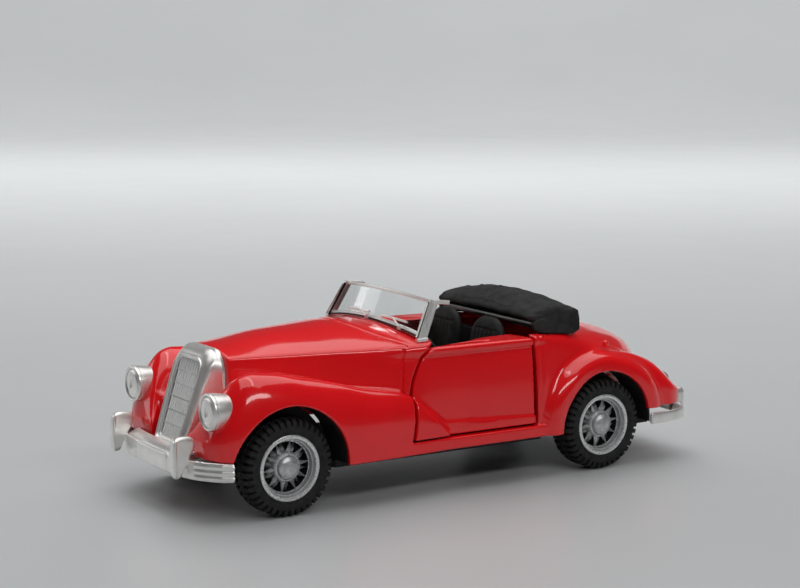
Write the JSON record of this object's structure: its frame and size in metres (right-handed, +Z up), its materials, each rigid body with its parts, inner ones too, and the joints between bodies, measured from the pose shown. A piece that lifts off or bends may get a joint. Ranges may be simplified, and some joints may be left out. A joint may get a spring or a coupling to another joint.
{
  "type": "diecast toy car",
  "caption": "Small die-cast open car with hinged doors, spoked wheels on turning axles, a folded soft top and a geared spring motor on the rear axle.",
  "frame": {"origin": "on the surface that the car stands on, under the middle of its overall box", "axes": "+Z up, front of the car towards -Y, left side of the car towards +X"},
  "size_m": [0.0496, 0.1299, 0.0417],
  "materials": {
    "red_paint": "gloss",
    "satin_plating": "satin",
    "rim_silver": "satin",
    "tyre_rubber": "matte",
    "black_plastic": "matte",
    "soft_top_vinyl": "matte",
    "seat_plastic": "matte",
    "clear_screen": "gloss",
    "red_lens": "gloss",
    "steel": "satin",
    "gear_plastic": "satin",
    "brass": "satin",
    "spring_steel": "satin",
    "motor_plastic": "matte"
  },
  "bodies": {
    "body": {"body_shell": "red_paint", "chassis_base": "black_plastic", "interior_tub": "black_plastic", "seat_left": "seat_plastic", "seat_right": "seat_plastic", "dashboard": "black_plastic", "steering_wheel": "black_plastic", "windscreen_frame": "satin_plating", "windscreen_glass": "clear_screen", "wipers": "satin_plating", "grille_shell": "satin_plating", "grille_insert": "satin_plating", "headlamp_left": "satin_plating", "headlamp_right": "satin_plating", "front_bumper": "satin_plating", "rear_bumper": "satin_plating", "tail_lamp_left": "red_lens", "tail_lamp_right": "red_lens", "soft_top": "soft_top_vinyl", "base_screws": "steel", "motor_case_lower": "motor_plastic", "motor_case_upper": "motor_plastic", "spring_arbor": "steel", "mainspring": "spring_steel"},
    "left_door": {"door_left": "red_paint"},
    "right_door": {"door_right": "red_paint"},
    "front_wheels": {"front_axle": "steel", "rim_front_left": "rim_silver", "rim_front_right": "rim_silver", "tyre_front_left": "tyre_rubber", "tyre_front_right": "tyre_rubber"},
    "rear_wheels": {"rear_axle": "steel", "axle_pinion": "brass", "rim_rear_left": "rim_silver", "rim_rear_right": "rim_silver", "tyre_rear_left": "tyre_rubber", "tyre_rear_right": "tyre_rubber"},
    "drum": {"spring_drum": "gear_plastic"}
  },
  "joints": [
    {"name": "door_left_hinge", "type": "hinge", "parent": "body", "child": "left_door", "pos_m": [0.0192, 0.0212, 0.019], "axis": [0, 0, 1], "range_deg": [0, 35]},
    {"name": "door_right_hinge", "type": "hinge", "parent": "body", "child": "right_door", "pos_m": [-0.0192, 0.0212, 0.019], "axis": [0, 0, -1], "range_deg": [0, 35]},
    {"name": "front_axle_spin", "type": "hinge", "parent": "body", "child": "front_wheels", "pos_m": [0, -0.0425, 0.0101], "axis": [1, 0, 0], "continuous": true},
    {"name": "rear_axle_spin", "type": "hinge", "parent": "body", "child": "rear_wheels", "pos_m": [0, 0.0375, 0.0101], "axis": [1, 0, 0], "continuous": true},
    {"name": "drum_spin", "type": "hinge", "parent": "body", "child": "drum", "pos_m": [0, 0.0306, 0.01556], "axis": [1, 0, 0], "continuous": true}
  ],
  "couplings": [
    {"joint": "drum_spin", "follows": "rear_axle_spin", "ratio": -0.375}
  ]
}
